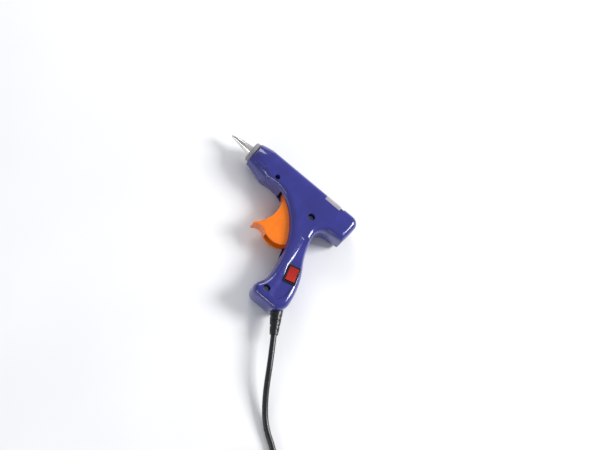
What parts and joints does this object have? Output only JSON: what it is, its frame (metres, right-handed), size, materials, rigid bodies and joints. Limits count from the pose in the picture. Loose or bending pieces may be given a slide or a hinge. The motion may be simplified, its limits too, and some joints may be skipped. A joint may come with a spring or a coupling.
{
  "type": "glue gun",
  "caption": "Small pistol-shaped hot-melt glue gun in two casing halves with a trigger, rocker switch, conical nozzle, stick inlet and mains cord.",
  "frame": {"origin": "on the surface the gun lies on, under the middle of the gun without its cord", "axes": "+X back along the glue stick from the nozzle, +Y from the foot of the handle to the barrel, +Z from the right side, which it lies on, to the left side"},
  "size_m": [0.2312, 0.3215, 0.0274],
  "materials": {
    "casing_plastic": "glossy indigo",
    "trigger_plastic": "glossy orange",
    "rocker_plastic": "glossy red",
    "black_plastic": "glossy black",
    "cord_rubber": "satin black",
    "nozzle_metal": "bright turned metal",
    "grey_plastic": "matt grey",
    "aluminium_cast": "cast",
    "spring_steel": "bright",
    "screw_steel": "dark",
    "silicone": "soft red",
    "white_plastic": "matt white",
    "window_clear": "smoky clear plastic",
    "lamp_glass": "clear",
    "heater_ceramic": "ceramic",
    "film_amber": "amber film",
    "wire_brown": "satin brown",
    "wire_blue": "satin blue",
    "brass_tabs": "bright"
  },
  "bodies": {
    "casing": {"casing_left": "casing_plastic", "casing_right": "casing_plastic", "nozzle": "nozzle_metal", "nozzle_collar": "grey_plastic", "melt_chamber": "aluminium_cast", "heater": "heater_ceramic", "heater_sheet": "film_amber", "heater_clip": "spring_steel", "feed_sleeve": "silicone", "sleeve_clamp": "spring_steel", "return_spring": "spring_steel", "trigger_pin": "spring_steel", "inlet_guide": "grey_plastic", "switch_housing": "black_plastic", "rocker_pin": "spring_steel", "switch_tabs": "brass_tabs", "pilot_window": "window_clear", "window_catch": "black_plastic", "pilot_lamp": "lamp_glass", "cord_clamp": "white_plastic", "clamp_screws": "screw_steel", "strain_relief": "cord_rubber", "cord_coil": "cord_rubber", "coil_tie": "black_plastic", "plug_body": "cord_rubber", "plug_pins": "nozzle_metal", "screw_front": "screw_steel", "screw_centre": "screw_steel", "screw_grip": "screw_steel", "wire_supply": "wire_brown", "wire_live": "wire_brown", "wire_neutral": "wire_blue", "power_cord": "cord_rubber", "plug_lead": "cord_rubber"},
    "trigger": {"trigger": "trigger_plastic"},
    "carriage": {"feed_carriage": "white_plastic", "gripper_jaw": "screw_steel"},
    "rocker": {"rocker": "rocker_plastic"}
  },
  "joints": [
    {"name": "trigger_squeeze", "type": "hinge", "parent": "casing", "child": "trigger", "pos_m": [0.0095, 0.03, 0.013], "axis": [0, 0, 1], "range_deg": [0, 18], "stiffness_Nm_per_rad": 0.6, "springref_deg": -6.88},
    {"name": "carriage_feed", "type": "slide", "parent": "casing", "child": "carriage", "axis": [-1, 0, 0], "range_m": [0, 0.00444], "deforming": ["return_spring"]},
    {"name": "rocker_tilt", "type": "hinge", "parent": "casing", "child": "rocker", "pos_m": [0.0485, -0.022, 0.0231], "axis": [0.9563, 0.2924, 0], "range_deg": [-10, 0]}
  ],
  "couplings": [
    {"joint": "carriage_feed", "follows": "trigger_squeeze", "m_per_rad": 0.014116}
  ]
}
